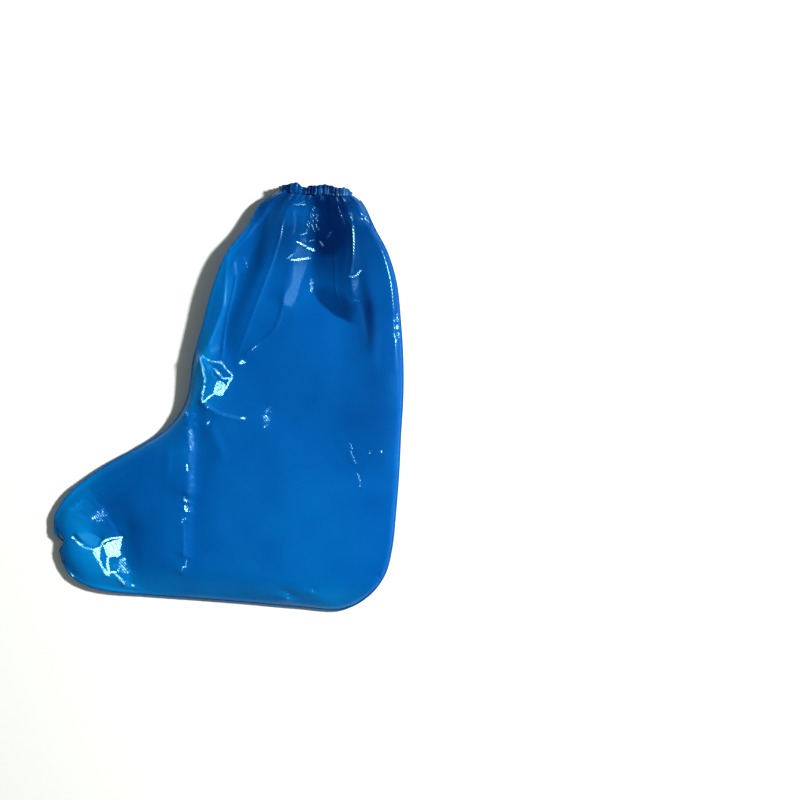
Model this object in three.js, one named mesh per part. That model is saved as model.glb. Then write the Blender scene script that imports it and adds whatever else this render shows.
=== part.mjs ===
// Disposable leg cover: a boot-shaped bag of thin blue film, welded all round, with an elastic
// band caught in a gathered hem at its mouth. It lies on its side, slightly puffed with air.
// Millimetres, +Z up. The origin is the middle of the footprint, on the surface it lies on.
// The mouth points to +Y, the toe to -X and the sole to -Y.
import * as THREE from "three";

// Walls and clearances
const filmWall = 1; // thickness of one layer of film
const pieceGap = 0.3; // clearance between neighbouring pieces
const rimOffset = filmWall / 2 + pieceGap / 2; // middle of a layer above or below the seam

// Gathered hem and the elastic inside it
const hemHeight = 9;
const hemFrontBottom = 233; // Y of the hem's lower edge at its front end
const hemBackBottom = 227; // and at its back end
const hemTuck = 2.6; // how far the film's top edge reaches up into the hem
const elasticThickness = 1.2;
const elasticRise = 0.4; // gap between the film's top edge and the elastic
const ruffleWaves = 7; // pinches across each side of the hem
const ruffleDepth = 1.4; // how far they stand in and out
const ruffleScallop = 0.9; // how far they lift the hem's edge up and down
const ruffleUnevenness = 0.12; // how far they crowd together and spread, in waves

// Weld bead along the outline
const weldWidth = 1.5;
const weldHeight = 2.3;
const weldDrop = 3; // how far below the hem it ends
const weldReach = filmWall / 2 + pieceGap + 0.05; // its inner face, out from the seam

// How finely the film is faceted
const columns = 22; // across each section
const rowSpacing = 19; // along the film, away from the mouth
const gatherRowSpacing = 14; // along the film, where the gathers run
const gatherEndY = 100;
const seamCrowding = 0.35; // how much closer together the columns lie near the seams

// How the film curves across a section
const plateauPower = 3; // the higher, the flatter the upper film is and the shorter its sides
const ringPower = 2.6; // above 2 the mouth's ring is flatter than an oval
const frontHangShare = 0.3; // share of the width in which the lower film hangs from a seam
const backHangShare = 0.24;

// One row for each section, from the mouth down the shaft, round the heel and along the foot.
// Each section is a straight line in plan from the front seam to the back or sole seam, and
// lift is that seam's height. crown is the height of the upper film, floor that of the lower
// film, and ring says how far the section is still the open ring of the mouth.
const sections = [
  // frontX frontY frontLift backX backY backLift crown floor ring
  [58.5, hemFrontBottom + hemTuck, 14, 138, hemBackBottom + hemTuck, 14, 27, 3.8, 1],
  [58.5, hemFrontBottom - weldDrop, 14, 138, hemBackBottom - weldDrop, 14, 27, 3.8, 1],
  [38, 217.5, 15, 151.5, 215.5, 14, 28.5, 2, 0.6],
  [21, 193, 17, 164.5, 192.5, 14, 30, 0.8, 0.25],
  [-0.5, 166, 19, 178.5, 166, 13.5, 31, 0.5, 0],
  [-15.5, 131, 20, 189.5, 131, 13, 32, 0.5, 0],
  [-28.5, 84.5, 20, 194.5, 84.5, 12.5, 32, 0.5, 0],
  [-39.5, 43.5, 18, 197, 43.5, 12, 31, 0.5, 0],
  [-44.5, 9.5, 15, 197, 3.5, 12, 30, 0.5, 0],
  [-49.5, -7, 13, 194.5, -39.5, 11.5, 29, 0.5, 0],
  [-59, -22.5, 12, 192.5, -81.5, 11, 28, 0.5, 0],
  [-71.5, -36, 11, 189, -126.5, 10.5, 27, 0.5, 0],
  [-85, -45.5, 10, 184.5, -169, 10, 26, 0.5, 0],
  [-95.5, -51.5, 9.5, 176.5, -199, 9.5, 25.5, 0.5, 0],
  [-104.5, -57, 9, 159, -222.5, 9, 25, 0.5, 0],
  [-113.5, -61.5, 8.5, 129, -239, 8.5, 24.5, 0.5, 0],
  [-123.5, -67, 8, 81, -236.5, 8, 24, 0.5, 0],
  [-136, -74, 8, 24.5, -230.5, 8, 23, 0.5, 0],
  [-148.5, -82, 8, -32.5, -227, 8, 22, 0.5, 0],
  [-162, -92, 8, -89, -223, 8, 20, 0.5, 0],
  [-174.5, -101.5, 8, -132, -218, 8, 18, 0.5, 0],
  [-185, -113, 8, -160, -212, 8, 16, 0.5, 0],
  [-192.5, -124, 8, -177.5, -201, 8, 14, 1.4, 0],
  [-197, -134, 8, -187.5, -186, 8, 12, 3.6, 0],
  [-197, -149.5, 8, -191, -176.5, 8, 8 + rimOffset, 8 - rimOffset, 0],
].map(([frontX, frontY, frontLift, backX, backY, backLift, crown, floor, ring]) => ({
  front: new THREE.Vector3(frontX, frontY, frontLift),
  back: new THREE.Vector3(backX, backY, backLift),
  heights: new THREE.Vector3(crown, floor, ring),
}));

// Folds that run down from the hem, as waves across the film. Each starts growing at the hem
// over its onset, and dies away over its fade.
const gathers = [
  { angleAt: ruffleAngle, height: ruffleDepth, onset: 0, fade: 30 },
  { angleAt: (v) => 2 * Math.PI * 4.2 * v + 1.1, height: 3, onset: 22, fade: 62 },
  { angleAt: (v) => 2 * Math.PI * 2.4 * v + 2.6, height: 2.4, onset: 40, fade: 120 },
];
const lowerGatherTurn = 2.1; // how far the lower film's waves are out of step with the upper's

// Single folds and dents of the upper film, each a straight line in plan. A negative height
// is a valley, and width is half of the fold's width.
const folds = [
  { name: "front pleat", from: [44, 208], to: [-20, 66], width: 11, height: 3.2 },
  { name: "pleat valley", from: [50, 206], to: [10, 100], width: 9, height: -3 },
  { name: "middle pleat", from: [72, 222], to: [14, 52], width: 11, height: 3.6 },
  { name: "dark valley", from: [108, 222], to: [122, 142], width: 15, height: -4.2 },
  { name: "back pleat", from: [138, 206], to: [140, 122], width: 11, height: 3 },
  { name: "back valley", from: [162, 122], to: [160, 46], width: 10, height: -2.4 },
  { name: "ankle dent", from: [-28, 44], to: [-4, 8], width: 14, height: -4 },
  { name: "ankle ridge", from: [-6, 30], to: [42, 4], width: 12, height: 2.4 },
  { name: "instep crease", from: [-43, -14], to: [-49, -140], width: 10, height: 3.6 },
  { name: "instep valley", from: [-25, -40], to: [-32, -150], width: 11, height: -2.6 },
  { name: "toe crease", from: [-156, -100], to: [-109, -208], width: 13, height: 3 },
  { name: "toe pinch", from: [-186, -162], to: [-130, -168], width: 10, height: -3 },
  { name: "heel dent", from: [138, -52], to: [150, -104], width: 13, height: -2.2 },
];

// The seam is nicked where the film folds in at the middle of the toe. share is half of the
// nick's width as a share of the toe's, and fade is how far back its pull reaches.
const toeNotch = { depth: 8, share: 0.34, fade: 8 };

const { lerp, smoothstep } = THREE.MathUtils;

// ---- The film's middle surfaces ----

const curveOf = (column) =>
  new THREE.CatmullRomCurve3(sections.map((row) => row[column]), false, "centripetal");
const frontSeam = curveOf("front");
const backSeam = curveOf("back");
const heightCurve = curveOf("heights");

// The section at place t, from 0 at the mouth to 1 at the toe.
function sectionAt(t) {
  const { x: crown, y: floor, z: ring } = heightCurve.getPoint(t);
  return {
    front: frontSeam.getPoint(t),
    back: backSeam.getPoint(t),
    crown,
    floor: Math.max(floor, filmWall / 2),
    ring,
  };
}

// The sections that the facets use, spaced by the longer of the two seams.
function rowSections() {
  const last = sections.length - 1;
  const rows = [];
  for (let i = 0; i < last; i++) {
    const [here, next] = [sections[i], sections[i + 1]];
    const length = Math.max(
      here.front.distanceTo(next.front),
      here.back.distanceTo(next.back),
    );
    const spacing = here.back.y > gatherEndY ? gatherRowSpacing : rowSpacing;
    const steps = Math.max(1, Math.round(length / spacing));
    for (let k = 0; k < steps; k++) rows.push(sectionAt((i + k / steps) / last));
  }
  return [...rows, sectionAt(1)];
}
const rows = rowSections();

// Places across a section, from 0 at the front seam to 1 at the back seam.
const places = Array.from({ length: columns + 1 }, (_, i) => {
  const even = i / columns;
  return lerp(even, (1 - Math.cos(Math.PI * even)) / 2, seamCrowding);
});

// Heights across a section: 0 at the seams and 1 in the middle.
const ringArch = (v) => (1 - Math.abs(2 * v - 1) ** ringPower) ** (1 / ringPower);
const plateauArch = (v) => 1 - Math.abs(2 * v - 1) ** plateauPower;

// Waves and folds leave the film's edges straight.
const awayFromSeams = (v) => smoothstep(v, 0.02, 0.12) * smoothstep(1 - v, 0.02, 0.12);

function ruffleAngle(v) {
  return 2 * Math.PI * (ruffleWaves * v + ruffleUnevenness * Math.sin(9 * v));
}

// A point of a section in plan, at the height of the line between its two seams.
const toeMiddle = sectionAt(1).front.lerp(sectionAt(1).back, 0.5);
function planPoint(section, v) {
  const p = new THREE.Vector3().lerpVectors(section.front, section.back, v);
  const middle = new THREE.Vector3().lerpVectors(section.front, section.back, 0.5);
  const pull = Math.exp(-middle.distanceTo(toeMiddle) / toeNotch.fade);
  p.x += toeNotch.depth * pull * Math.max(0, 1 - Math.abs(v - 0.5) / toeNotch.share);
  p.y += ruffleScallop * section.ring * awayFromSeams(v) * Math.cos(ruffleAngle(v) + 1);
  return p;
}

// The upper film arches over from seam to seam.
function upperPoint(section, v) {
  const p = planPoint(section, v);
  const arch = lerp(plateauArch(v), ringArch(v), section.ring);
  p.z = lerp(p.z + rimOffset, section.crown, arch);
  return p;
}

// The lower film hangs from each seam in a short curve and lies flat between them. At the
// mouth it is the lower half of the ring instead.
function lowerPoint(section, v) {
  const p = planPoint(section, v);
  const hang = (share, lift) => Math.max(0, 1 - share) ** 2 * (lift - rimOffset - section.floor);
  const lying =
    section.floor +
    hang(v / frontHangShare, section.front.z) +
    hang((1 - v) / backHangShare, section.back.z);
  p.z = lerp(lying, lerp(p.z - rimOffset, section.floor, ringArch(v)), section.ring);
  return p;
}

function normalsOf(grid) {
  const [along, across] = [new THREE.Vector3(), new THREE.Vector3()];
  return grid.map((row, i) =>
    row.map((_, j) => {
      along.subVectors(grid[Math.min(i + 1, grid.length - 1)][j], grid[Math.max(i - 1, 0)][j]);
      across.subVectors(row[Math.min(j + 1, row.length - 1)], row[Math.max(j - 1, 0)]);
      return new THREE.Vector3().crossVectors(along, across).normalize();
    }),
  );
}

function gatherHeight(v, below, turn) {
  let height = 0;
  for (const { angleAt, height: full, onset, fade } of gathers) {
    const grown = onset > 0 ? 1 - Math.exp(-below / onset) : 1;
    height += full * grown * Math.exp(-below / fade) * Math.cos(angleAt(v) + turn);
  }
  return height;
}

function foldHeight(p) {
  let sum = 0;
  for (const { from, to, width, height } of folds) {
    const [dx, dy] = [to[0] - from[0], to[1] - from[1]];
    const length = Math.hypot(dx, dy);
    const along = ((p.x - from[0]) * dx + (p.y - from[1]) * dy) / length;
    const aside = ((p.x - from[0]) * dy - (p.y - from[1]) * dx) / length;
    const ends = smoothstep(along, -width, width) * smoothstep(length - along, -width, width);
    sum += height * ends * Math.exp(-((aside / width) ** 2));
  }
  return sum;
}

// One layer of film with its gathers, its folds and its limits: the layers never meet, and
// neither goes below the surface.
function filmGrid(pointAt, gatherTurn, foldAt, limit) {
  const plain = rows.map((section) => places.map((v) => pointAt(section, v)));
  const normals = normalsOf(plain);
  const ringRows = 2; // the rows that the hem holds straight
  const hemY = (hemFrontBottom + hemBackBottom) / 2;
  return plain.map((row, i) =>
    row.map((p, j) => {
      const v = places[j];
      const below = i < ringRows ? 0 : Math.max(0, hemY - row[columns / 2].y);
      const fold = i < ringRows ? 0 : foldAt(p);
      const lift = awayFromSeams(v) * (gatherHeight(v, below, gatherTurn) + fold);
      const moved = p.clone().addScaledVector(normals[i][j], lift);
      moved.z = limit(moved.z, lerp(rows[i].front.z, rows[i].back.z, v));
      return moved;
    }),
  );
}
const upperGrid = filmGrid(upperPoint, 0, foldHeight, (z, seamZ) =>
  Math.max(z, seamZ + rimOffset),
);
const lowerGrid = filmGrid(lowerPoint, lowerGatherTurn, () => 0, (z, seamZ) =>
  Math.min(seamZ - rimOffset, Math.max(z, filmWall / 2)),
);

// ---- Solids ----

function meshOf(name, vertices, quads, material) {
  const geometry = new THREE.BufferGeometry();
  geometry.setAttribute(
    "position",
    new THREE.Float32BufferAttribute(vertices.flatMap((p) => p.toArray()), 3),
  );
  geometry.setIndex(quads.flatMap(([a, b, c, d]) => [a, b, c, a, c, d]));
  geometry.computeVertexNormals();
  const mesh = new THREE.Mesh(geometry, material);
  mesh.name = name;
  return mesh;
}

// A layer of film of even thickness about its middle surface, closed along all four edges.
function shellMesh(name, grid, material) {
  const normals = normalsOf(grid);
  const [lastRow, lastPlace] = [grid.length - 1, grid[0].length - 1];
  const count = grid.length * grid[0].length;
  const face = (side) =>
    grid.flatMap((row, i) =>
      row.map((p, j) => p.clone().addScaledVector(normals[i][j], (side * filmWall) / 2)),
    );
  const at = (i, j) => i * (lastPlace + 1) + j;
  const quads = [];
  for (let i = 0; i < lastRow; i++)
    for (let j = 0; j < lastPlace; j++) {
      const [a, b, c, d] = [at(i, j), at(i + 1, j), at(i + 1, j + 1), at(i, j + 1)];
      quads.push([a, b, c, d], [d + count, c + count, b + count, a + count]);
    }
  const rim = [];
  for (let j = 0; j < lastPlace; j++) rim.push(at(0, j));
  for (let i = 0; i < lastRow; i++) rim.push(at(i, lastPlace));
  for (let j = lastPlace; j > 0; j--) rim.push(at(lastRow, j));
  for (let i = lastRow; i > 0; i--) rim.push(at(i, 0));
  rim.forEach((a, k) => {
    const b = rim[(k + 1) % rim.length];
    quads.push([a, b, b + count, a + count]);
  });
  return meshOf(name, [...face(1), ...face(-1)], quads, material);
}

// A section carried along a path, as a closed loop or as an open run with flat ends. place
// gives the point of the path's corner i for one of the section's corners.
function sweptMesh(name, path, corners, place, closed, material) {
  const vertices = path.flatMap((_, i) => corners.map((corner) => place(i, corner)));
  const n = corners.length;
  const quads = [];
  const runs = closed ? path.length : path.length - 1;
  for (let i = 0; i < runs; i++)
    for (let k = 0; k < n; k++) {
      const next = ((i + 1) % path.length) * n;
      const turn = (k + 1) % n;
      quads.push([i * n + k, i * n + turn, next + turn, next + k]);
    }
  if (!closed) {
    const last = (path.length - 1) * n;
    quads.push([3, 2, 1, 0], [last, last + 1, last + 2, last + 3]);
  }
  return meshOf(name, vertices, quads, material);
}

// The way out at a path's corner: 1 mm of offset stays 1 mm square to both runs meeting there.
function outward(before, corner, after, wayOut) {
  const first = wayOut(before, corner);
  const middle = first.clone().add(wayOut(corner, after)).normalize();
  const sharpest = 0.5; // keeps the offset of a sharp corner under twice its size
  return middle.divideScalar(Math.max(middle.dot(first), sharpest));
}

const filmBlue = new THREE.MeshStandardMaterial({ color: 0x015fb2, roughness: 0.25 });
const hemBlue = new THREE.MeshStandardMaterial({ color: 0x0f2c68, roughness: 0.3 });
const weldBlue = new THREE.MeshStandardMaterial({ color: 0x0073b9, roughness: 0.3 });
const elasticWhite = new THREE.MeshStandardMaterial({ color: 0xd8dde2, roughness: 0.8 });

// ---- Hem and elastic ----

// They follow the top edge of both layers of film, round the mouth.
const ringPath = [...upperGrid[0], ...[...lowerGrid[0]].reverse()];
const outOfRing = (a, b) => new THREE.Vector3(a.z - b.z, 0, b.x - a.x).normalize();
const ringOut = ringPath.map((corner, i) => {
  const before = ringPath[(i + ringPath.length - 1) % ringPath.length];
  const after = ringPath[(i + 1) % ringPath.length];
  return outward(before, corner, after, outOfRing);
});

// A corner of their sections is [out from the ring, up from the hem's lower edge].
const onRing = (i, [out, up]) =>
  ringPath[i]
    .clone()
    .addScaledVector(ringOut[i], out)
    .setY(ringPath[i].y - hemTuck + up);

// The hem is film folded over the elastic, open along its lower edge.
function hemMesh() {
  const inside = elasticThickness / 2 + pieceGap;
  const outside = inside + filmWall;
  const fold = hemHeight - filmWall;
  const corners = [
    [inside, 0], [inside, fold], [-inside, fold], [-inside, 0],
    [-outside, 0], [-outside, hemHeight], [outside, hemHeight], [outside, 0],
  ];
  return sweptMesh("cuff_hem", ringPath, corners, onRing, true, hemBlue);
}

function elasticMesh() {
  const half = elasticThickness / 2;
  const low = hemTuck + elasticRise;
  const high = hemHeight - filmWall - 2 * pieceGap;
  const corners = [[half, low], [-half, low], [-half, high], [half, high]];
  return sweptMesh("elastic_band", ringPath, corners, onRing, true, elasticWhite);
}

// ---- Weld bead ----

// It runs along the seam from the hem's front end, round the toe, to the hem's back end.
function weldMesh() {
  const toe = places.slice(1, -1).map((v) => planPoint(rows.at(-1), v));
  const seam = [
    ...rows.map((section) => section.front),
    ...toe,
    ...rows.map((section) => section.back).reverse(),
  ];
  const path = seam.slice(1, -1);
  const outOfSeam = (a, b) => new THREE.Vector3(b.y - a.y, a.x - b.x, 0).normalize();
  const out = path.map((corner, i) => outward(seam[i], corner, seam[i + 2], outOfSeam));
  const far = weldReach + weldWidth;
  const high = weldHeight / 2;
  const corners = [[weldReach, -high], [weldReach, high], [far, high], [far, -high]];
  const place = (i, [aside, up]) => {
    const p = path[i].clone().addScaledVector(out[i], aside);
    return p.setZ(p.z + up);
  };
  return sweptMesh("edge_weld", path, corners, place, false, weldBlue);
}

// ---- Assembly ----

const legCover = new THREE.Group();
legCover.add(
  shellMesh("upper_film", upperGrid, filmBlue),
  shellMesh("lower_film", lowerGrid, filmBlue),
  hemMesh(),
  elasticMesh(),
  weldMesh(),
);

// The origin goes to the middle of the footprint, on the surface.
const box = new THREE.Box3().setFromObject(legCover);
const middle = box.getCenter(new THREE.Vector3());
legCover.position.set(-middle.x, -middle.y, -box.min.z);

export default legCover;
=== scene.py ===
import math

import bmesh
import bpy
import numpy as np
from mathutils import Matrix, Vector


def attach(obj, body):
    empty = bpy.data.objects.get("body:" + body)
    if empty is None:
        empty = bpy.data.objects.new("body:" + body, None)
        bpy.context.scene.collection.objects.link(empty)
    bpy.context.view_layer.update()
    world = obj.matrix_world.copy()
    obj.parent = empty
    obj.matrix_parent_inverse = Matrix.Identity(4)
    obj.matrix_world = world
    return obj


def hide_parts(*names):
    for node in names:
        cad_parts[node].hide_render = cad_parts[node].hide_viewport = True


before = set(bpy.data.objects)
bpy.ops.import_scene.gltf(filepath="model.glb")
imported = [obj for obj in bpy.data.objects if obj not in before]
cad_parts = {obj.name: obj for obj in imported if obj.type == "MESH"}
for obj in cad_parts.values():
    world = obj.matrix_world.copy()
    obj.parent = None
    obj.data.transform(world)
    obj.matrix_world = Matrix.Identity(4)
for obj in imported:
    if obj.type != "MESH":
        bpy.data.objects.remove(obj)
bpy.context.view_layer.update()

millimetre = 0.001


# small helpers

def smooth(x, low, high):
    t = np.clip((np.asarray(x, float) - low) / (high - low), 0, 1)
    return t * t * (3 - 2 * t)


def mix(a, b, t):
    return a + (b - a) * t


def curveAt(points, t):
    # centripetal Catmull-Rom curve through the points, at places t from 0 to 1
    p = np.asarray(points, float)
    last = len(p) - 1
    p = np.vstack([2 * p[0] - p[1], p, 2 * p[-1] - p[-2]])
    place = np.clip(np.asarray(t, float), 0, 1) * last
    i = np.minimum(place.astype(int), last - 1)
    w = (place - i)[:, None]
    p0, p1, p2, p3 = p[i], p[i + 1], p[i + 2], p[i + 3]
    step = lambda a, b: np.maximum(np.sum((a - b) ** 2, 1), 1e-12)[:, None] ** 0.25
    d0, d1, d2 = step(p0, p1), step(p1, p2), step(p2, p3)
    m1 = ((p1 - p0) / d0 - (p2 - p0) / (d0 + d1) + (p2 - p1) / d1) * d1
    m2 = ((p2 - p1) / d1 - (p3 - p1) / (d1 + d2) + (p3 - p2) / d2) * d1
    return (p1 + m1 * w + (-3 * p1 + 3 * p2 - 2 * m1 - m2) * w**2
            + (2 * p1 - 2 * p2 + m1 + m2) * w**3)


def gridNoise(x, y, cell, seed, facets=False):
    # random hills from -1 to 1, about one for each cell, smooth or in flat triangles
    table = np.random.default_rng(seed).uniform(-1, 1, (64, 64))
    u, v = np.asarray(x, float) / cell, np.asarray(y, float) / cell
    i, j = np.floor(u).astype(int), np.floor(v).astype(int)
    a, b = u - i, v - j
    at = lambda k, l: table[(i + k) % 64, (j + l) % 64]
    if facets:
        lower = at(0, 0) + a * (at(1, 0) - at(0, 0)) + b * (at(0, 1) - at(0, 0))
        upper = at(1, 1) + (1 - a) * (at(0, 1) - at(1, 1)) + (1 - b) * (at(1, 0) - at(1, 1))
        return np.where(a + b < 1, lower, upper)
    a, b = smooth(a, 0, 1), smooth(b, 0, 1)
    return mix(mix(at(0, 0), at(1, 0), a), mix(at(0, 1), at(1, 1), a), b)


def crumple(x, y, cell, seed):
    # flat facets whose edges wander, as in film that has been crushed and pulled flat
    bendX = 0.5 * cell * gridNoise(x, y, 1.7 * cell, seed + 1)
    bendY = 0.5 * cell * gridNoise(x, y, 1.9 * cell, seed + 2)
    u, v = x + bendX, y + bendY
    return gridNoise(u + 0.42 * v, v - 0.23 * u, cell, seed, facets=True)


def alongPath(x, y, path):
    # distance to a line of straight runs, positive to its right on the page for a path that
    # goes down it, and the height between those given as its points' third values
    best = np.full(x.shape, 1e9)
    side, height = np.zeros(x.shape), np.zeros(x.shape)
    for a, b in zip(path[:-1], path[1:]):
        run = (b[0] - a[0], b[1] - a[1])
        t = np.clip(((x - a[0]) * run[0] + (y - a[1]) * run[1]) / (run[0]**2 + run[1]**2), 0, 1)
        away = np.hypot(x - a[0] - t * run[0], y - a[1] - t * run[1])
        turn = (x - a[0]) * run[1] - (y - a[1]) * run[0]
        near = away < best
        best = np.where(near, away, best)
        side = np.where(near, -np.sign(turn) * away, side)
        height = np.where(near, mix(a[2], b[2], t), height)
    return side, height


def alongAll(x, y, lines):
    # the sum of soft ridges: each line has its widths to the right and to the left and its
    # sharpness from 0, round, to 1, creased, and then a path of (X, Y, height)
    total = np.zeros(x.shape)
    for (right, left, sharp), *path in lines.values():
        side, height = alongPath(x, y, path)
        away = np.abs(side) / np.where(side > 0, right, left)
        total += height * mix(np.exp(-(away**2)), np.exp(-away), sharp)
    return total


def depthIn(half, points):
    # how deep the film's vertices lie in a line of that half width, or in an area where it is 0
    closed = [(*point, 0) for point in points + points[:1 - bool(half)]]
    side = np.abs(alongPath(x, y, closed)[0])
    if half:
        return half - side
    inside = np.zeros(x.shape, bool)
    for a, b in zip(closed[:-1], closed[1:]):
        at = a[0] + (y - a[1]) * (b[0] - a[0]) / (b[1] - a[1] if a[1] != b[1] else 1)
        inside ^= ((a[1] > y) != (b[1] > y)) & (x < at)
    return np.where(inside, side, -side)


def relaxed(z, pulls, stiffness, hold):
    # heights moved as little as hold allows, so that the steps between neighbours along the
    # rows and the columns come near the pulls, by conjugate gradients
    def spread(flows, sign=-1):
        # each flow given to one neighbour and, by its sign, taken from or given to the other
        a, b = np.pad(flows[0], ((1, 1), (0, 0))), np.pad(flows[1], ((0, 0), (1, 1)))
        return a[:-1] + sign * a[1:] + b[:, :-1] + sign * b[:, 1:]

    steps = lambda u: (np.diff(u, axis=0), np.diff(u, axis=1))
    scale = hold + spread(stiffness, 1)
    move = np.zeros(z.shape)
    rest = spread([k * (p - d) for k, p, d in zip(stiffness, pulls, steps(z))])
    ahead = rest / scale
    power = np.sum(rest * ahead)
    for turn in range(500):
        pushing = hold * ahead + spread([k * d for k, d in zip(stiffness, steps(ahead))])
        stride = power / np.sum(ahead * pushing)
        move += stride * ahead
        rest = rest - stride * pushing
        eased = rest / scale
        fresh = np.sum(rest * eased)
        ahead = eased + fresh / power * ahead
        power = fresh
    return z + move


def quads(at, rows, cols):
    # the faces of a grid whose corners are numbered by at
    return [(at(i, j), at(i + 1, j), at(i + 1, j + 1), at(i, j + 1))
            for i in range(rows) for j in range(cols)]


def inScene(name, data):
    thing = bpy.data.objects.new(name, data)
    bpy.context.scene.collection.objects.link(thing)
    return thing


# the cover's form: one row for each section, from the mouth down the shaft, round the heel
# and along the foot, as front X, Y, lift, back X, Y, lift, crown, floor, ring
coverForm = dict(
    sections=[
        (58.3, 236, 14, 138.6, 230.6, 14, 27, 3.8, 1),
        (54, 233, 14, 142.5, 229, 14, 27, 3.8, 1),
        (45, 227.5, 14.5, 148.5, 224, 14, 27.5, 3.2, 0.85),
        (35, 218.3, 15, 154, 216.3, 14, 28.5, 2, 0.6),
        (21, 193, 18, 165, 192.5, 14, 30, 0.8, 0.25),
        (-0.5, 166, 20, 179, 166, 13.5, 31, 0.5, 0),
        (-15.5, 131, 20, 189.5, 131, 13, 32, 0.5, 0),
        (-28.5, 84.5, 18, 194.5, 84.5, 12.5, 32, 0.5, 0),
        (-39.5, 43.5, 16, 197, 43.5, 12, 31, 0.5, 0),
        (-44.5, 9.5, 13.5, 197, 3.5, 12, 30, 0.5, 0),
        (-49.5, -7, 11.5, 194.5, -39.5, 11.5, 29, 0.5, 0),
        (-59, -22.5, 9.5, 192.5, -81.5, 11, 28, 0.5, 0),
        (-71.5, -36, 8, 189, -126.5, 10.5, 27, 0.5, 0),
        (-85, -45.5, 7, 184.5, -169, 10, 26, 0.5, 0),
        (-95.5, -51.5, 7, 176.5, -199, 9.5, 25.5, 0.5, 0),
        (-104.5, -57, 7, 159, -222.5, 9, 25, 0.5, 0),
        (-113.5, -61.5, 7, 131, -238.5, 8.5, 24.5, 0.5, 0),
        (-123.5, -67, 7, 81, -236.5, 8, 24, 0.5, 0),
        (-136, -74, 7, 24.5, -231.5, 8, 23, 0.5, 0),
        (-148.5, -82, 7, -32.5, -227, 8, 22, 0.5, 0),
        (-162, -92, 8, -89, -223, 8, 20, 0.5, 0),
        (-174.5, -101.5, 8, -132, -219, 8, 18, 0.5, 0),
        (-185, -113, 8, -161, -212, 8, 16, 0.5, 0),
        (-192.5, -124, 8, -179, -201, 8, 14, 1.4, 0),
        (-197.5, -134, 8, -188.5, -186, 8, 12, 3.6, 0),
        (-198, -149.5, 8, -191, -176.5, 8, 8.65, 7.35, 0),
    ],
    soleStart=(180, 130),  # X where the back seam turns into the sole's
    seamRise=dict(front=3, back=9, sole=-3),
    toeRows=4,  # sections over which that rise fades at the toe
    rim=0.35,  # how far each layer lies above or below the seam at the edge
    columns=188,
    bunching=0.35,  # how far the columns crowd towards the seams
    rowStep=1.5,  # along the shaft
    heelStep=2.5,  # round the heel, along the sole
    footStep=1.9,
    ringPower=2.6,
    frontRoll=(0.85, 50, 5),  # share of a long gentle fall, its reach, reach of the tight roll
    backRoll=(0.65, 60, 5),
    soleRoll=(0.9, 60, 6),
    hang=(0.3, 0.24),  # share of the width that hangs from the front seam, and from the back
    lowest=0.3,  # the lower film's least height above the table
    notchDepth=8,
    notchShare=0.34,
    notchFade=8,
    thickness=0.35,
)
rim = coverForm["rim"]
rows = np.array(coverForm["sections"], float)
lastRow = len(rows) - 1


def rowPlaces():
    # where the film's rows lie along the sections, from 0 at the mouth to 1 at the toe
    places = []
    for i, (here, ahead) in enumerate(zip(rows, rows[1:])):
        length = max(math.dist(here[k:k + 2], ahead[k:k + 2]) for k in (0, 3))
        step = coverForm["rowStep"]
        if here[4] < 5:
            step = coverForm["heelStep"] if here[3] > 100 else coverForm["footStep"]
        count = max(1, round(length / step))
        places += [(i + k / count) / lastRow for k in range(count)]
    return np.array(places[:len(places) - len(places) % 3] + [1.0])


places = rowPlaces()
front, back, heights = (curveAt(rows[:, k:k + 3], places) for k in (0, 3, 6))
even = np.linspace(0, 1, coverForm["columns"] + 1)
across = mix(even, (1 - np.cos(np.pi * even)) / 2, coverForm["bunching"])
onSole = smooth(back[:, 0], *coverForm["soleStart"]) * (back[:, 1] < -150)
seamRise = coverForm["seamRise"]
raised = np.clip(1 - heights[:, 2], 0, 1) * smooth((1 - places) * lastRow, 0, coverForm["toeRows"])
front[:, 2] += seamRise["front"] * raised
back[:, 2] += mix(seamRise["back"], seamRise["sole"] * smooth(back[:, 0], -150, -90), onSole) * raised
plan = mix(front[:, None], back[:, None], across[None, :, None])
middles = (front + back) / 2
pull = np.exp(-np.linalg.norm(middles - middles[-1], axis=1) / coverForm["notchFade"])
nick = np.clip(1 - np.abs(across - 0.5) / coverForm["notchShare"], 0, 1)
plan[:, :, 0] += coverForm["notchDepth"] * pull[:, None] * nick
x, y, seamZ = np.moveaxis(plan, 2, 0)
crown, floorZ, ring = heights.T[:, :, None]
floorZ = np.maximum(floorZ, coverForm["lowest"])
v = np.broadcast_to(across, x.shape)
span = np.linalg.norm((back - front)[:, :2], axis=1)[:, None]
edge = np.minimum(v, 1 - v) * span
print("film grid", x.shape)


# the main form: the upper film as a plateau with rolled sides, or the ring of the mouth
def rollLoss(distance, share, gentle, tight):
    fall = lambda reach, power: np.clip(1 - distance / reach, 0, 1) ** power
    return mix(fall(np.minimum(tight, 0.3 * span), 1.15), fall(np.minimum(gentle, 0.48 * span), 2), share)


fromMiddle, power = np.abs(2 * v - 1), coverForm["ringPower"]
fullArch = np.clip(1 - fromMiddle**power, 0, 1) ** (1 / power)
ringArch = mix(1 - fromMiddle**2.5, fullArch, smooth(ring, 0.6, 1))
backRoll = [mix(a, b, onSole[:, None]) for a, b in zip(coverForm["backRoll"], coverForm["soleRoll"])]
plateau = 1 - rollLoss(v * span, *coverForm["frontRoll"]) - rollLoss((1 - v) * span, *backRoll)
upperZ = mix(seamZ + rim, crown, mix(plateau, ringArch, ring))

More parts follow.
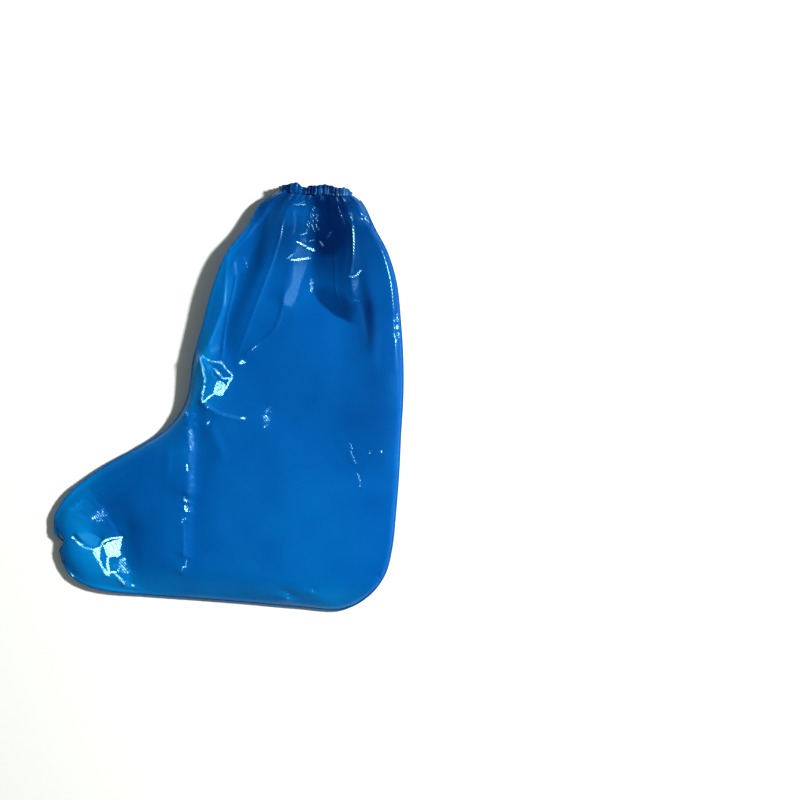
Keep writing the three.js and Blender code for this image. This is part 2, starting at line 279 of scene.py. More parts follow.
# pleats that run down from the mouth: each line is (Y, X, height), in order from the front
pleats = dict(
    lines=[
        [(222, 47, 19), (212, 41, 20), (198, 31, 20.6), (181, 19, 22), (161, -0.5, 23.8), (147, -2.4, 25),
         (125, -4, 25.8), (104, -6, 26.4), (90, -11, 26.6), (62, -21, 28), (40, -27, 30)],
        [(222, 55, 18.6), (209, 44, 18.8), (192, 35, 19.8), (182, 32, 21), (158, 17.6, 23),
         (134, 7.6, 24.2), (126, 6.6, 24.4), (108, 2.7, 24.8), (94, -1.5, 25), (62, -3, 26), (42, 2, 27.4)],
        [(228, 73, 24), (217, 68.3, 25.4), (197, 60.8, 26.8), (182, 58.3, 28), (157, 51, 29),
         (127, 40, 29.6), (85, 24.3, 29.6), (51, 11.8, 28.6)],
        [(222, 79, 24.6), (200, 79, 25.8), (186, 79, 26.8), (176, 77, 27.6), (158, 69, 28.8),
         (138, 66.5, 29.2), (120, 63.5, 29.4), (105, 61.7, 29.8), (94, 59.2, 30), (77, 52.5, 30.2),
         (69, 44.2, 30), (62, 36, 29.8), (50, 20, 29.2)],
        [(222, 94, 24), (200, 90, 24.8), (186, 89, 24.8), (168, 93, 24.2), (155, 89, 24.8), (135, 82, 26),
         (120, 77.5, 27), (108, 72.5, 28), (85, 68, 30), (50, 60, 30.6)],
        [(222, 104, 23.4), (205, 101, 23.8), (185, 98, 23.4), (160, 95, 23.6), (143, 94, 24),
         (120, 96, 26), (108, 102, 27), (94, 119, 28.6), (85, 136, 30), (60, 140, 30.6), (50, 140, 30.8)],
        [(222, 133, 25.4), (210, 135.6, 26.8), (197, 139, 28), (178, 140.6, 29.2), (153, 139.8, 30.2),
         (139, 138.4, 30.6), (117, 142.3, 30.6), (100, 146, 30.6), (80, 150, 30.6), (50, 152, 30.6)],
        [(222, 138, 25), (197, 143.5, 27.3), (178, 147.4, 28.2), (153, 151.6, 28.7), (139, 151.4, 28.8),
         (117, 151, 29.2), (100, 154, 29.4), (80, 158, 29.4), (55, 161, 29.6), (40, 162, 29.9)],
        [(222, 142, 24.6), (197, 154, 26.4), (182, 160, 27), (162, 169, 27.2), (140, 173.6, 27.3),
         (110, 175, 27.5), (80, 175, 27.6), (50, 174, 27.8), (10, 172, 28)],
    ],
    softness=0.55,  # 0 leaves the runs between the lines straight, 1 rounds them fully
    backFall=(0.15, 0.85, 1.35),  # share of an even fall to the seam, slope and power of the roll
    topFade=(212, 229),  # Y where the pleats give way to the ring, and below to the plain film
    bottomFade=(18, 66),
    bottomFadeBack=(10, 78),
    lowest=-75,
    leastRun=1,  # the least distance between neighbouring lines
)


def pleatHeights():
    # the upper film's heights on the shaft, from line to line between the two seams
    def seamLine(seam, chosen):
        line = seam[chosen][:, [1, 0, 2]] + (0, 0, rim)
        return line[np.argsort(line[:, 0])]

    inShaft = (y > pleats["lowest"]) & (ring < 0.999)
    xs, ys = x[inShaft], y[inShaft]
    lines = [seamLine(front, front[:, 1] > 20)]
    lines += [curveAt(line, np.linspace(0, 1, 240))[::-1] for line in pleats["lines"]]
    lines.append(seamLine(back, (back[:, 0] > 130) & (back[:, 1] > -100)))
    lineX, lineZ = ([np.interp(ys, line[:, 0], line[:, k]) for line in lines] for k in (1, 2))
    last = len(lines) - 1
    for k in range(1, last):
        lineX[k] = np.maximum(lineX[k], lineX[k - 1] + pleats["leastRun"])
    for k in range(last - 1, 0, -1):
        lineX[k] = np.minimum(lineX[k], lineX[k + 1] - pleats["leastRun"])
    z = lineZ[0]
    evenShare, rollSlope, rollPower = pleats["backFall"]
    for k in range(last):
        width = lineX[k + 1] - lineX[k]
        t = np.clip((xs - lineX[k]) / np.maximum(width, 0.5), 0, 1)
        if k == 0:
            rise = mix(1 - (1 - t) ** 1.8, smooth(t, 0, 1), 0.25)
        elif k == last - 1:
            fall = (1 - evenShare) * (lineZ[k] - lineZ[last])
            reach = np.clip(rollPower * fall / rollSlope / width, 0.1, 1)
            rise = mix(np.clip(1 - (1 - t) / reach, 0, 1) ** rollPower, t, evenShare)
        else:
            rise = mix(t, smooth(t, 0, 1), pleats["softness"])
        z = np.where((xs >= lineX[k]) | (k == 0), mix(lineZ[k], lineZ[k + 1], rise), z)
    full = upperZ.copy()
    full[inShaft] = z
    return full


towardsBack = smooth(x, 50, 135)
fades = [mix(a, b, towardsBack) for a, b in zip(pleats["bottomFade"], pleats["bottomFadeBack"])]
pleatShare = smooth(y, *fades) * (1 - smooth(y, *pleats["topFade"])) * (1 - smooth(ring, 0.5, 1))
upperZ = mix(upperZ, pleatHeights(), pleatShare * (back[:, 1:2] > -99))

# broad swells: the toe's crown, the fold behind it and the creases at the instep and ankle
swells = dict(
    toeValley=[(42, 46, 0.85), (-162, -92, -1.5), (-155, -108, -3.5), (-140, -125, -5.5),
        (-130, -143, -6), (-121, -156, -6.5), (-117, -180, -6.5), (-109.5, -210, -4), (-108, -222, -2)],
    toeCrown=[(20, 9, 0), (-172, -112, 0), (-182, -128, 1.6), (-185, -145, 2), (-181, -160, 1),
        (-178, -180, 2), (-162, -202, 1.2), (-140, -214, 0)],
    ankleCrest=[(20, 8, 0.8), (-34, 58, 0), (-31, 44, 1.8), (-28, 28, 2.6), (-27, 16, 2.6), (-29, 0, 2),
        (-30, -12, 0)],
    ankleValley=[(34, 16, 0.5), (2, 60, 0), (6, 40, -1.6), (8, 20, -2), (2, -6, -1), (0, -16, 0)],
    instepCrest=[(7, 30, 0.5), (-43, 0, 1), (-41, -20, 2.4), (-42, -45, 2.4), (-45, -75, 2.2),
        (-45, -100, 2.2), (-49, -113, 2.2), (-48, -123, 2.6), (-49, -137, 1.4), (-49, -160, 1.2),
        (-49, -183, 1.3), (-54, -200, 0)],
    instepValley=[(16, 6, 0.3), (-30, 0, 0), (-33, -20, -1), (-34, -45, -1.4), (-37, -75, -1.7),
        (-37, -100, -1.7), (-39, -123, -1.8), (-40, -145, -1.2), (-40, -185, 0)],
    ankleTail=[(4, 5, 0.3), (-30, -3, 0.6), (-22, -10, 1.2), (-8, -17, 1.3), (2, -21, 1), (17, -22, 0.4)],
    innerStreak=[(6, 9, 0.2), (-22, -26, 0.3), (-18, -38, 1.5), (-9, -58, 1.5), (-6, -76, 0)],
)
awayFromSeams = smooth(edge, 0.5, 6)
upperZ += awayFromSeams * alongAll(x, y, swells)

# fine creases that catch the light along one flank
creases = dict(
    ridgeA=[(1.5, 2.5, 0), (44, 213, 0.3), (30, 198, 0.45), (19.3, 180.9, 0.45), (-0.7, 161, 0.35),
        (-2.3, 147, 0.3), (-4, 125, 0.35), (-5.7, 103.7, 0.6), (-10.6, 90.4, 0.65), (-21.4, 62, 0.5)],
    creaseB=[(1.5, 1.5, 0), (33, 182, 0), (17.6, 158.5, 0.6), (12, 146, 0.5), (7.6, 133.6, 0.6),
        (6.8, 126.9, 0.7), (2.7, 108.6, 0.65), (-1.5, 93.7, 0.65), (-5.7, 62, 0.6), (-7, 46, 0.4)],
    ridgeC=[(1.3, 2, 0), (68.3, 217.5, 0), (60.8, 196.7, 0.5), (58.3, 181.8, 0.55), (50.9, 156.8, 0.6),
        (40, 126.9, 0.6), (24.3, 85.4, 0.5), (11.8, 51.3, 0.2)],
    edgeD=[(1.5, 1.8, 0), (64, 120, 0.2), (61.7, 105.3, 0.7), (59.2, 93.7, 0.75), (52.5, 77.1, 0.6),
        (44.2, 68.8, 0.6), (35.9, 62.1, 0.75), (26.8, 55.5, 0.7), (20.1, 49.6, 0.5)],
    ridgeE=[(1.5, 2, 0), (135.6, 210, 0.3), (139.4, 196, 0.6), (140, 178.5, 0.6), (140, 160, 0.5),
        (138.6, 150, 0.5), (137.3, 139, 0.5), (140, 117, 0.2)],
    shadeE=[(1.6, 4, 0), (137, 196, 0), (138, 178, -0.5), (137.6, 155, -0.5), (135, 138, 0)],
    lineJ=[(1.4, 1.4, 0), (119, 182, 0), (120, 160, 0.4), (121.5, 120.3, 0.4), (128.1, 98.7, 0)],
    faintStreak=[(3.5, 5, 0), (-66, -50, 0), (-67.9, -65, 0.6), (-69.6, -98, 0)],
    toeFine=[(1.6, 2.4, 0), (-142, -134, 0.6), (-131, -146, 0.2), (-122, -157, -0.9)],
)
creaseHeight = 1.3
upperZ += creaseHeight * awayFromSeams * alongAll(x, y, creases)

# crushed areas: middle, reach across and along, and how strongly the film is crushed there
crushed = dict(
    zones=[
        (85, 168, 16, 12, 0.5), (98, 203, 18, 18, 0.4), (76, 135, 10, 24, 0.2), (-16, 20, 20, 24, 0.5),
        (-2, -22, 24, 10, 0.5), (-44, -30, 9, 30, 0.7), (-46, -85, 9, 22, 0.6), (-48, -125, 8, 16, 0.8),
        (-50, -180, 8, 18, 0.6), (-138, -172, 28, 24, 0.5), (-155, -125, 26, 16, 0.5),
        (-122, -198, 18, 16, 0.5), (42, -22, 11, 16, 0.4), (145, -76, 14, 32, 0.5),
        (144, 130, 10, 20, 0.3), (8, 145, 12, 18, 0.3), (16, 44, 8, 7, 0.3), (120, 180, 20, 24, 0.15),
        (182, 140, 8, 44, 0.25), (192, 76, 6, 10, 0.3),
    ],
    layers=[(7.5, 0.6, 21), (4.2, 0.3, 22)],  # cell, height, seed
    everywhere=0.03,
)
crush = np.full(x.shape, crushed["everywhere"])
for zoneX, zoneY, reachX, reachY, amount in crushed["zones"]:
    away = ((x - zoneX) / reachX) ** 2 + ((y - zoneY) / reachY) ** 2
    crush = np.maximum(crush, amount * np.exp(-away))
for cell, height, seed in crushed["layers"]:
    upperZ += awayFromSeams * crush * height * crumple(x, y, cell, seed)

# a little unevenness all over, so that no reflection is perfectly smooth
unevenness = [(46, 0.45, 3), (21, 0.16, 5), (9, 0.03, 7)]
for cell, height, seed in unevenness:
    upperZ += awayFromSeams * height * gridNoise(x + 500, y + 500, cell, seed)

# the lamps, their turn and height in degrees and the rest in metres, and the camera above
softboxes = dict(
    key=dict(turn=20, height=45, distance=3.0, size=(0.34, 0.34), power=165),
    strip=dict(turn=12, height=56, distance=3.0, size=(0.6, 0.24), power=1.3),
    window=dict(turn=8, height=65, distance=3.0, size=(0.4, 0.36), power=1.5),
)
cameraSetup = dict(lens=135, sensor=36, width=0.9065, focusHeight=0.012)
viewMiddle = Vector((0.1938, -0.0017, 0.0))
viewDistance = cameraSetup["width"] * cameraSetup["lens"] / cameraSetup["sensor"]
cameraPlace = viewMiddle + Vector((0, 0, cameraSetup["focusHeight"] + viewDistance))


def lampPlace(box):
    turn, height = math.radians(box["turn"]), math.radians(box["height"])
    level = math.cos(height)
    way = Vector((math.cos(turn) * level, math.sin(turn) * level, math.sin(height)))
    return viewMiddle + box["distance"] * way, way


def mirrorSlopes(lamp, height=20):
    # how far the film must fall along X and along Y to show the lamp to the camera
    total = np.zeros((3, *x.shape))
    for target in (lampPlace(softboxes[lamp])[0], cameraPlace):
        away = np.stack([goal / millimetre - at for goal, at in zip(target, (x, y, height + 0 * x))])
        total += away / np.linalg.norm(away, axis=0)
    return total[:2] / total[2]


# facets that mirror one of the lamps: for each kind the lamp and the share of its slope, and
# then each facet's half width, 0 for an area, and its points
facetLooks = dict(white=("key", 1), cyan=("key", 0.86), hatch=("key", 0.745), dark=("key", -0.5),
                  pale=("strip", 0.88), faint=("window", 1), flat=("key", 1))
ribbedKinds = ("white", "cyan", "hatch")
facets = dict(
    white=[
        (1.2, (-31.5, 47), (-30, 40), (-28.5, 35)), (1.3, (-29, -4), (-26, -3), (-22, 1), (-15.5, 5.5)),
        (0, (-12.7, 20), (-8.5, 20.6), (-3, 16.5), (-1, 14), (-1.3, 10.8), (-4.4, 7.2), (-5, 4),
         (-9, 2.8), (-13, 3.6), (-17, 5.7), (-15.8, 11.9), (-14.7, 15)),
        (1.4, (-2.5, 11), (0.5, 18), (3.5, 22), (5, 25.5)),
        (1.5, (-15, 33), (-12, 30), (-9, 26.5), (-6, 22.5)), (1.1, (-5, 22), (-1, 23), (4, 22.5)),
        (0, (11, 38.4), (13, 41.5), (15.2, 44), (17.5, 42.5), (21.2, 40.3), (17, 38.8), (14, 38.4)),
        (1.2, (-46.8, -74.5), (-45.2, -81.5)),
        (0, (-49, -118), (-45.8, -123), (-44, -128.5), (-48, -128.5), (-50, -125)),
        (1, (-47.2, -182), (-48.4, -191)),
        (1.2, (-177, -157), (-172, -162), (-168, -165.5), (-164, -168.5), (-157, -170.5), (-154, -171.5)),
        (0, (-156, -171.5), (-151, -169), (-144.5, -168), (-145.5, -174), (-146, -181), (-142, -190),
         (-137.5, -197), (-136, -201), (-139.5, -200.5), (-144, -193), (-148.5, -185), (-152.5, -178)),
        (1.3, (-145, -168.5), (-143, -163), (-139, -160.5), (-133, -158.5), (-121, -157.3)),
        (0, (-142.5, -167), (-138, -163), (-130, -160.5), (-121, -158), (-121.5, -166), (-123.5, -171),
         (-122, -177), (-126, -180.5), (-130, -179), (-136, -180.5), (-140, -176), (-140.5, -172)),
        (1.5, (-137.5, -181), (-137.5, -188), (-136, -194), (-136.3, -200)),
        (1.4, (-134, -197), (-130, -196.3), (-126, -201), (-121, -206.5), (-118, -210)),
        (1.4, (-110, -211), (-108, -213)), (1.1, (78, 176.6), (84, 173.8), (90, 170.3)),
        (1.4, (89, 170.3), (97, 167.3)), (1.2, (67.5, 158.3), (74, 163.2)),
        (1.3, (70, 156.2), (78, 156.3), (91, 158.6)), (1.2, (103.5, 177), (106.5, 173)),
        (1, (74, 219), (86.5, 219)), (1.3, (155, 203), (160, 198)),
    ],
    cyan=[
        (1.3, (-28.5, 35), (-26.5, 25), (-25.8, 17.5)), (1.2, (-26.5, 14), (-28.5, 8), (-29, -3)),
        (1.3, (-28.5, 48), (-24, 44), (-18, 42), (-12, 41)), (1.7, (-12, 41), (-8, 41.5), (-5.5, 38)),
        (1.2, (-5.5, 38), (-3, 34), (0, 31), (4, 27)), (1.4, (16, -22), (19, -22.3)),
        (1.2, (-24, -29), (-21.5, -26.5)), (1, (-25.5, -7), (-23.5, -9.5)),
        (1, (-47.5, -16), (-45.5, -19)), (1, (-50, -111), (-47.5, -117)), (1, (-51, -190), (-53, -195)),
        (0, (-172, -161.5), (-165, -164.5), (-160, -161.5), (-163, -165.5), (-167, -166.5)),
        (1.6, (-155, -136), (-151, -134)), (1.4, (-178.5, -199), (-177, -200.5)),
        (0.8, (36, 62.5), (27, 55)), (1, (82, 185), (88.5, 186.5)), (1.1, (93, 178), (97, 179)),
        (0.9, (80, 219.5), (86, 222.5)),
        (0, (92.6, 136), (94.6, 134.5), (95.6, 124), (94.8, 118), (93, 120), (92.8, 128)),
        (1.1, (137, 137.5), (141, 137), (145, 139), (149.5, 144.5)), (0.9, (165.5, 192), (169.5, 186)),
        (0.9, (191.2, 96), (191, 89)), (1.3, (192, 74.5), (192.2, 71)), (1.1, (160, -59), (160, -62)),
        (1.1, (173, -59), (173, -62)), (0.9, (66.8, -221), (67.3, -227)), (1, (95, -216), (95, -219)),
        (1, (169, -202), (169, -205)),
    ],
    hatch=[
        (0, (48, -10), (43, -14), (39, -18), (38.4, -26), (41, -33), (45.5, -32), (46.7, -22)),
        (1.6, (-41, -19), (-43, -31)), (1.6, (-42, -36), (-43.5, -48), (-41, -57)),
        (2, (-48.3, -130), (-49.8, -138.5)),
        (0, (-124, -181), (-118, -180), (-113.5, -187), (-113, -197), (-117, -204), (-126, -195),
         (-130, -189)), (0, (-179, -126), (-173, -122), (-168, -117), (-166, -121), (-172, -126)),
        (0, (-156, -138), (-152, -128), (-141, -122.5), (-137, -131), (-141, -140), (-150, -140)),
    ],
    dark=[
        (1.1, (-16, 28.5), (-10, 22.3), (-5, 18.5), (-2.5, 16)),
        (1, (-136, -171), (-131, -170.5), (-127, -174)), (0.8, (-141, -176), (-136, -176), (-131, -178)),
    ],
    pale=[
        (0, (-26, 37), (-20, 39), (-16, 36), (-20, 31.5), (-24.5, 33)),
        (0, (-20, 29), (-16.5, 30.5), (-11.5, 23.5), (-14, 20.5), (-18, 24)),
        (0, (5, 154), (12.5, 156), (13, 147), (10, 138), (7, 140)), (0.9, (17, 159), (21, 148)),
        (0, (-46, -33), (-39, -35), (-37.5, -50), (-40, -60), (-45, -52)),
        (0, (79, 174), (92, 169), (95.5, 165.5), (93, 161), (91, 158.7), (80, 157.5), (73, 158),
         (73.5, 163), (77, 170)),
        (0, (72.5, 155), (90.5, 157), (89, 148), (86, 138), (82.5, 130), (80, 118), (76, 108), (70, 103),
         (63, 104), (61, 112), (64, 120), (70, 128), (72, 140)),
        (0, (81.5, 184), (88, 184.5), (89, 176.5), (80, 177)), (0.9, (111, 181), (116.5, 188)),
        (1.1, (69.5, 225), (77, 236)), (1.2, (97, 216), (94.3, 208), (94.7, 200), (97.5, 189.5)),
        (1, (100.5, 208), (99.5, 200), (101.5, 190)), (1, (91, 200), (90, 192), (88.5, 187)),
        (1, (124.5, 216), (126, 209), (128.5, 203), (132, 197)), (1, (136, 210), (138.7, 201)),
        (0, (138.5, 137), (144, 137.5), (148.5, 142), (147.6, 128), (143.5, 122), (141, 116),
         (139.6, 126)), (0.9, (142, 110.5), (148, 110), (152, 113.5)),
        (1, (138, -50), (140, -62), (145, -74)), (1, (146, -84), (150, -100)),
    ],
    faint=[
        (2, (-24, -7), (-10, -16), (0, -19), (13, -22)), (0, (-22, 56), (-9, 60), (-9, 54), (-20, 50)),
        (0, (-46, -62), (-41, -62), (-41.5, -84), (-42, -108), (-46.5, -108), (-45.5, -84)),
        (0, (-52, -141), (-48, -141), (-47, -160), (-47.5, -178), (-51.5, -178), (-51, -160)),
        (0, (-172, -154), (-156, -152), (-144, -159), (-149, -167), (-160, -166)),
        (0, (72.5, 212), (76, 212), (77.5, 200), (76, 185), (71.5, 185), (73.5, 200)),
    ],
    flat=[
        (0, (188.5, 84.5), (194.2, 84.5), (194.2, 78), (189.2, 78)),
    ],
)
facetPull = dict(stiffness=120, reach=16, around=1.2, aroundArea=0.4)
facetItems = [(kind, half, points) for kind, group in facets.items() for half, *points in group]
facetSlopes = {kind: mirrorSlopes(lamp) * factor for kind, (lamp, factor) in facetLooks.items()}


def facetHeights(z):
    # the film pulled flat along the lines and ribbed areas, and to their slope on the others
    share, slopes = np.zeros(z.shape), np.zeros((2, *z.shape))
    for kind, half, points in facetItems:
        level = half > 0 or kind in ribbedKinds
        around = facetPull["around" if level else "aroundArea"]
        inside = smooth(depthIn(half, points) + around, 0, 0.8)
        better = inside > np.maximum(share * (1.01 if level else 0.99), 0.02)
        share = np.where(better, inside, share)
        slopes = np.where(better, 0 if level else facetSlopes[kind], slopes)
    pulls, stiffness = [], []
    for axis in (0, 1):
        ends = lambda table: (np.delete(table, -1, axis), np.delete(table, 0, axis))
        first, second = ends(share)
        both = np.minimum(first, second)
        slopeX, slopeY = (np.where(first > second, *ends(slope)) for slope in slopes)
        stepX, stepY, stepZ = (np.diff(table, axis=axis) for table in (x, y, z))
        pulls.append(mix(stepZ, -slopeX * stepX - slopeY * stepY, both))
        stiffness.append((1 + facetPull["stiffness"] * both) / (np.hypot(stepX, stepY) + 0.3) ** 2)
    hold = facetPull["reach"] ** -2 + 4 * (1 - awayFromSeams)
    return relaxed(z, pulls, stiffness, hold)


ribs = dict(turn=21, pitch=2.3)  # fine sawtooth ribs in the film that catch the light
glint = dict(reach=3.0, steepest=0.8, softHatch=0.12, paleLine=0.93)


def glintFields(z):
    # depth inside the lines and ribbed areas, and how far their fine ribs must lean there
    reach, steepest = glint["reach"], glint["steepest"]
    depth, lean = np.full(z.shape, -reach), np.zeros(z.shape)
    turn = math.radians(ribs["turn"])
    uphill = lambda slopeX, slopeY: slopeX * math.cos(turn) + slopeY * math.sin(turn)
    (dxI, dxJ), (dyI, dyJ), (dzI, dzJ) = (np.gradient(table) for table in (x, y, z))
    area = dxI * dyJ - dxJ * dyI
    area = np.where(np.abs(area) < 1e-3, 1e-3, area)
    rise = uphill((dzI * dyJ - dzJ * dyI) / area, (dzJ * dxI - dzI * dxJ) / area)
    for kind, half, points in facetItems:
        if half or kind in ribbedKinds:
            wanted = uphill(*facetSlopes[kind]) * (glint["paleLine"] if kind == "pale" else 1) + rise
            inside = depthIn(half, points) * (glint["softHatch"] if kind == "hatch" else 1)
            lean = np.where(inside > depth, wanted, lean)
            depth = np.maximum(depth, inside)
    return np.clip(depth + reach, 0, 2 * reach), np.clip(lean, -steepest, steepest)


# gathers under the hem: waves along each side, their height and how fast they fade below it
gathers = dict(
    waves=[
        dict(count=13.5, height=0.4, fade=9, phase=0.4, drift=0.9, seed=11),
        dict(count=8.3, height=0.65, fade=16, phase=1.9, drift=1.1, seed=12),
        dict(count=4.6, height=0.6, fade=26, phase=4.1, drift=1.0, seed=13),
    ],
    hem=(232, 227),  # Y of the hem's lower edge at the front and the back
    sharpness=0.5,
    lowest=60,
)


def gatherHeights(turn):
    below = np.maximum(mix(*gathers["hem"], v) - y, 0)
    total = np.zeros(x.shape)
    for wave in gathers["waves"]:
        wander = wave["drift"] * gridNoise(v * 60 + 3 * turn, below * 0.35, 9, wave["seed"])
        angle = 2 * np.pi * wave["count"] * v + wave["phase"] + turn + wander
        pinched = 1 - 2 * np.abs(np.sin(angle / 2))
        size = 0.75 + 0.5 * gridNoise(v * 40, below * 0.2, 7, wave["seed"] + 5)
        size = size * wave["height"] * np.exp(-below / wave["fade"])
        total += size * mix(np.cos(angle), pinched, gathers["sharpness"])
    return np.where(y > gathers["lowest"], total, 0)


seamFade = smooth(edge, 0, 5)
upperZ += seamFade * gatherHeights(0.0)
upperZ = np.maximum(facetHeights(upperZ), seamZ + rim)
glintDepth, glintLean = glintFields(upperZ)
print("upper film shaped", round(float(upperZ.max()), 1), "mm high")


# the lower film hangs from the seams and lies flat between them
def hanging(distance, reach, seam):
    return np.clip(1 - distance / reach, 0, 1) ** 2 * (seam[:, 2:] - rim - floorZ)


hangFront, hangBack = coverForm["hang"]
lowerZ = floorZ + hanging(v, hangFront, front) + hanging(1 - v, hangBack, back)
lowerZ = mix(lowerZ, mix(seamZ - rim, floorZ, ringArch), ring)
lowerZ += seamFade * gatherHeights(2.1) * smooth(ring, 0.02, 0.4)
lowerZ = np.clip(lowerZ, coverForm["lowest"], seamZ - rim)

# how deep the blue is: -1 where several layers lie together and as painted shade in valleys, beside ridges
# and under the hem, +1 where light comes through and as painted light on the toe, the sole, the right edge,
# flanks turned from the lamps and a sheen round the ankle's star
shadeAndLightBands = dict(
    pleatLeft=[(9, 9, 0), (40, 214, -0.35), (36, 170, -0.45), (34, 152, -0.6), (22, 125, -0.45),
        (12, 100, -0.35), (2, 76, -0.1)],
    backShade=[(6, 9, 0), (150, 160, 0), (154, 125, -0.35), (159, 105, -0.55), (160.5, 80, -0.55),
        (160, 60, -0.4), (158, 40, 0)],
    underHem=[(6, 12, 0), (50, 228, -0.4), (66, 230, -0.7), (78, 226, -0.4), (92, 228, -0.5),
        (104, 226, -0.4), (138, 224, -0.4)],
    upper=[(30, 30, 0), (30, 205, -0.15), (70, 188, -0.4), (95, 180, -0.45), (140, 190, -0.3)],
    backSide=[(40, 46, 0), (140, 215, -0.35), (158, 160, -0.5), (168, 100, -0.5), (170, 40, -0.4),
        (172, -20, -0.35), (178, -80, -0.2), (178, -180, -0.12)],
    rightEdge=[(16, 16, 0), (180, 170, 0), (188, 130, 0.05), (195, 84, 0.1), (197, 40, 0.1),
        (197, 0, 0.25), (194, -60, 0.3), (190, -120, 0.1), (184, -170, 0)],
    shinBand=[(9, 12, 0), (1, 150, 0.1), (-2, 120, 0.25), (-10, 90, 0.4), (-20, 62, 0.5), (-30, 42, 0.6),
        (-32, 10, 0.6), (-44, 0, 0.5)],
    ankleEdge=[(10, 12, 0), (-28, 75, 0.1), (-38, 45, 0.4), (-43, 12, 0.6), (-48, -6, 0.6),
        (-60, -24, 0.35), (-90, -48, 0.15), (-140, -76, 0.1)],
    ankleStar=[(14, 8, 0), (-24, 40, 0.4), (-18, 20, 0.4), (-22, 0, 0.3)],
    toe=[(24, 24, 0), (-166, -98, 0.5), (-176, -130, 0.9), (-165, -160, 1), (-152, -190, 0.95),
        (-128, -212, 0.9), (-95, -216, 0.4), (-60, -214, 0.2)],
    soleEdge=[(17, 17, 0), (-90, -219, 0.15), (0, -221, 0.4), (60, -226, 0.4), (110, -232, 0.35),
        (150, -222, 0.2)],
    instepFoot=[(16, 16, 0), (-62, -140, 0.15), (-60, -172, 0.3), (-60, -200, 0.2)],
    behindToe=[(9, 9, 0), (-120, -110, -0.1), (-110, -140, -0.3), (-104, -175, -0.25),
        (-103, -200, -0.1)],
    heel=[(60, 60, 0), (110, -130, 0.15), (120, -190, 0.2)],
    middle=[(50, 40, 0), (60, 70, -0.15), (70, 20, -0.1)],
)
# areas of painted shade and layered film beside the pleats' ridges, as how deep, how soft its border and
# its corners: those that start on the back half of the shaft end along a line across it
layeredShadeAreas = [
    (-0.36, 10, (93, 232), (134, 228), (138, 200), (139, 165), (137.5, 140), (139, 116), (139, 80),
     (120, 80), (96, 100), (96, 120), (96, 150), (97, 168), (94, 200)),
    (-0.3, 8, (101, 232), (124, 230), (122, 200), (119, 165), (107, 164), (105, 190), (103, 212)),
    (-0.3, 7, (98, 125), (98, 90), (140, 70), (142, 104), (128, 118), (112, 126)),
    (-0.2, 5, (61, 196), (74, 192), (72, 160), (70, 140), (60, 110), (45, 112), (50, 150)),
]
navyLimit = [(80, 175, 0), (92, 135, 0), (95, 120, 0), (102, 108.6, 0), (119, 93.7, 0), (137, 85.4, 0),
             (158, 78, 0)]
aboveLimit = smooth(alongPath(x, y, navyLimit)[0], -1, 2)
# the blue's depth: painted shade and painted light from the bands and areas here, with random patches
toneAndPaintedShade = alongAll(x, y, shadeAndLightBands)
for amount, soft, *corners in layeredShadeAreas:
    within = amount * smooth(depthIn(0, corners), -soft, soft)
    toneAndPaintedShade += within * (aboveLimit if corners[0][0] > 90 else 1)
# painted light along the rim: the steep sides within its reach lightened as if lit through the single film,
# much less on the back part
rimPaintedLight = dict(amount=0.35, reach=(1, 12), lessAtBack=0.9, backFrom=150)
atRim = (1 - smooth(edge, *rimPaintedLight["reach"])) * (1 - smooth(ring, 0.1, 0.6))
toneAndPaintedShade += rimPaintedLight["amount"] * atRim * (1 - rimPaintedLight["lessAtBack"] * (x > rimPaintedLight["backFrom"]))
tonePatches = [(60, 0.12, 31), (24, 0.08, 32)]
for cell, amount, seed in tonePatches:
    toneAndPaintedShade += amount * gridNoise(x, y, cell, seed)
toneAndPaintedShade = np.clip(toneAndPaintedShade, -1, 1)


def newPiece(name, points, faces, fields, place=Matrix()):
    # a mesh with its fields, moved to its place, faces turned outwards and shaded smoothly
    mesh = bpy.data.meshes.new(name)
    mesh.from_pydata((points * millimetre).tolist(), [], faces)
    for field, values in fields.items():
        mesh.attributes.new(field, "FLOAT", "POINT").data.foreach_set("value", values)
    mesh.transform(place)
    shell = bmesh.new()
    shell.from_mesh(mesh)
    bmesh.ops.recalc_face_normals(shell, faces=shell.faces)
    shell.to_mesh(mesh)
    shell.free()
    mesh.shade_smooth()
    return inScene(name, mesh)


def filmShell(name, z, up, step):
    # a closed sheet: a fine outer face, and an inner face with a third of its rows and columns
    fields = dict(toneAndPaintedShade=toneAndPaintedShade, crush=crush)
    if up:
        fields.update(glint=glintDepth, lean=glintLean)
    layers = np.stack([table[::step, ::step] for table in (x, y, z, *fields.values())], 2)
    for axis, count in enumerate(layers.shape[:2]):
        layers = np.delete(layers, range(count - 1 - (count - 1) % 3, count - 1), axis)
    grid = layers[:, :, :3]
    normal = np.cross(np.gradient(grid, axis=0), np.gradient(grid, axis=1))
    normal /= np.linalg.norm(normal, axis=2, keepdims=True)
    inward = (-1 if up else 1) * np.sign(normal[:, :, 2:]) * normal * coverForm["thickness"]
    inner = layers[::3, ::3].copy()
    inner[:, :, :3] += inward[::3, ::3]
    (rows, cols), (innerRows, innerCols) = grid.shape[:2], inner.shape[:2]
    at = lambda i, j: i * cols + j
    under = lambda i, j: rows * cols + i * innerCols + j
    faces = quads(at, rows - 1, cols - 1) + quads(under, innerRows - 1, innerCols - 1)
    faces += [[at(3 * i, 3 * j + s) for s in range(4)] + [under(i, j + 1), under(i, j)]
              for i in (0, innerRows - 1) for j in range(innerCols - 1)]
    faces += [[at(3 * i + s, 3 * j) for s in range(4)] + [under(i + 1, j), under(i, j)]
              for j in (0, innerCols - 1) for i in range(innerRows - 1)]
    columns = np.concatenate([table.reshape(-1, table.shape[2]) for table in (layers, inner)])
    return newPiece(name, columns[:, :3], faces, dict(zip(fields, columns.T[3:].copy())))


upperFilm = filmShell("upperFilm", upperZ, True, 1)
lowerFilm = filmShell("lowerFilm", lowerZ, False, 2)
print("films built", len(upperFilm.data.polygons), len(lowerFilm.data.polygons))

